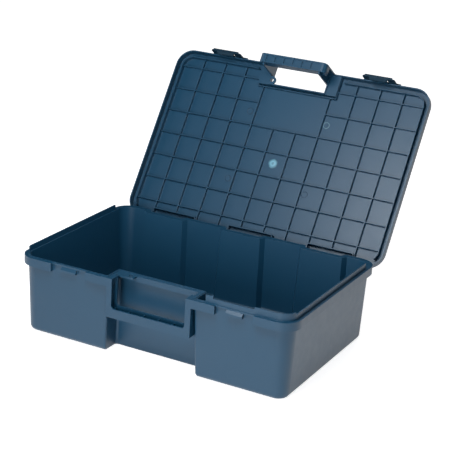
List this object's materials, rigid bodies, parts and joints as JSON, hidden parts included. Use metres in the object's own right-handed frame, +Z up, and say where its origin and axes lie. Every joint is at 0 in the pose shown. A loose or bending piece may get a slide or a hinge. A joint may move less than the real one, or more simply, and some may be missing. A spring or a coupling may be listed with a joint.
{
  "type": "saw blade storage case",
  "caption": "Moulded plastic carrying case with a ribbed hinged lid, a split carrying handle in a front hand bay and slotted swing latches.",
  "frame": {"origin": "centre of the tray's underside, on the surface that the case stands on", "axes": "+Z up, +X to the right as seen from the handle side, -Y towards the handle side; the lid is drawn open, leaning back over +Y"},
  "size_m": [0.455, 0.4824, 0.3786],
  "materials": {
    "shell_plastic": "lightly grained satin polypropylene, blue-grey",
    "latch_plastic": "smooth satin polypropylene, blue-grey",
    "pin_steel": "drawn steel wire"
  },
  "bodies": {
    "tray": {"base_shell": "shell_plastic", "hinge_pins": "pin_steel"},
    "lid": {"lid_shell": "shell_plastic", "latch_pins": "pin_steel"},
    "left_latch": {"latch_left": "latch_plastic"},
    "right_latch": {"latch_right": "latch_plastic"}
  },
  "joints": [
    {"name": "lid_hinge", "type": "hinge", "parent": "tray", "child": "lid", "pos_m": [0, 0.1476, 0.1127], "axis": [1, 0, 0], "range_deg": [0, 124]},
    {"name": "left_latch_hinge", "type": "hinge", "parent": "lid", "child": "left_latch", "pos_m": [-0.137, 0.33089, 0.35046], "axis": [1, 0, 0], "range_deg": [-110, 0]},
    {"name": "right_latch_hinge", "type": "hinge", "parent": "lid", "child": "right_latch", "pos_m": [0.137, 0.33089, 0.35046], "axis": [1, 0, 0], "range_deg": [-110, 0]}
  ]
}
